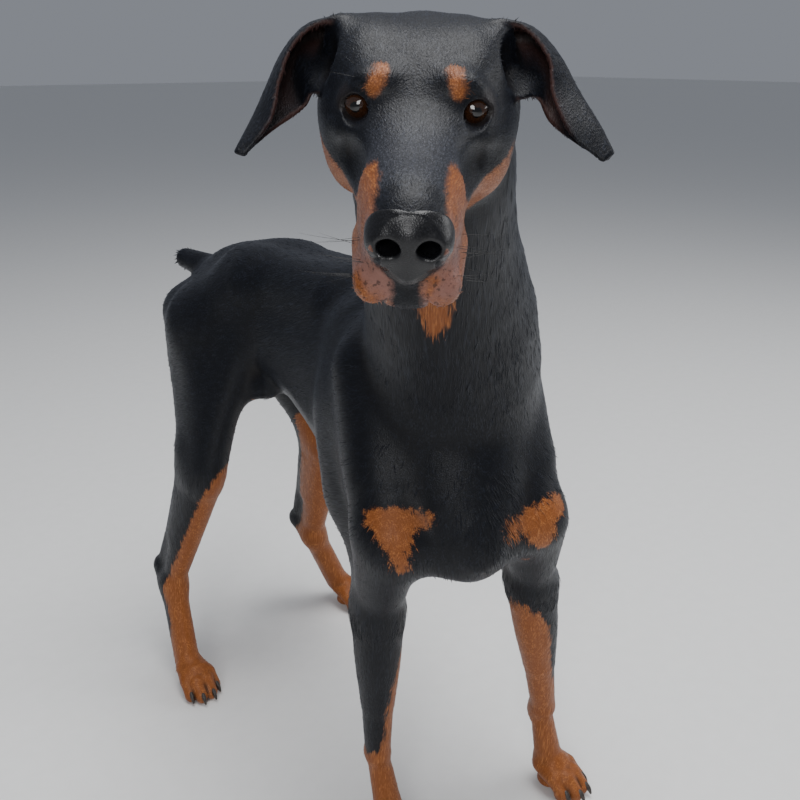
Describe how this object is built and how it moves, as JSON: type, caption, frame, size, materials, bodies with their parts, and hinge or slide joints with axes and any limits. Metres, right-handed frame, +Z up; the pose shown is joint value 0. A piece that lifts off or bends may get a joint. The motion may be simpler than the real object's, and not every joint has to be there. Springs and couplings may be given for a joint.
{
  "type": "doberman pinscher",
  "caption": "Life-size still model of a standing black and tan dog with hanging ears, a short tail and its head turned to one side.",
  "frame": {"origin": "middle of the bounding box on the floor under the paws", "axes": "+Z up, the dog faces -Y with its trunk, its left side is +X, and its head is turned towards -X"},
  "size_m": [0.4966, 0.9098, 0.9276],
  "materials": {
    "coat": "short black coat with a sheen",
    "legs": "short black coat with tan marks",
    "paws": "short rust-tan coat",
    "nose": "moist pebbled",
    "eyes": "wet gloss",
    "claws": "worn horn"
  },
  "bodies": {
    "root": {"torso": "coat", "neck": "coat", "tail": "coat", "head": "coat", "ear_right": "coat", "ear_left": "coat", "eye_right": "eyes", "eye_left": "eyes", "nose": "nose", "foreleg_right": "legs", "foreleg_left": "legs", "hindleg_right": "legs", "hindleg_left": "legs", "forepaw_right": "paws", "forepaw_left": "paws", "hindpaw_right": "paws", "hindpaw_left": "paws", "claw_fore_right_1": "claws", "claw_fore_right_2": "claws", "claw_fore_right_3": "claws", "claw_fore_right_4": "claws", "claw_fore_left_1": "claws", "claw_fore_left_2": "claws", "claw_fore_left_3": "claws", "claw_fore_left_4": "claws", "claw_hind_right_1": "claws", "claw_hind_right_2": "claws", "claw_hind_right_3": "claws", "claw_hind_right_4": "claws", "claw_hind_left_1": "claws", "claw_hind_left_2": "claws", "claw_hind_left_3": "claws", "claw_hind_left_4": "claws"}
  },
  "joints": []
}
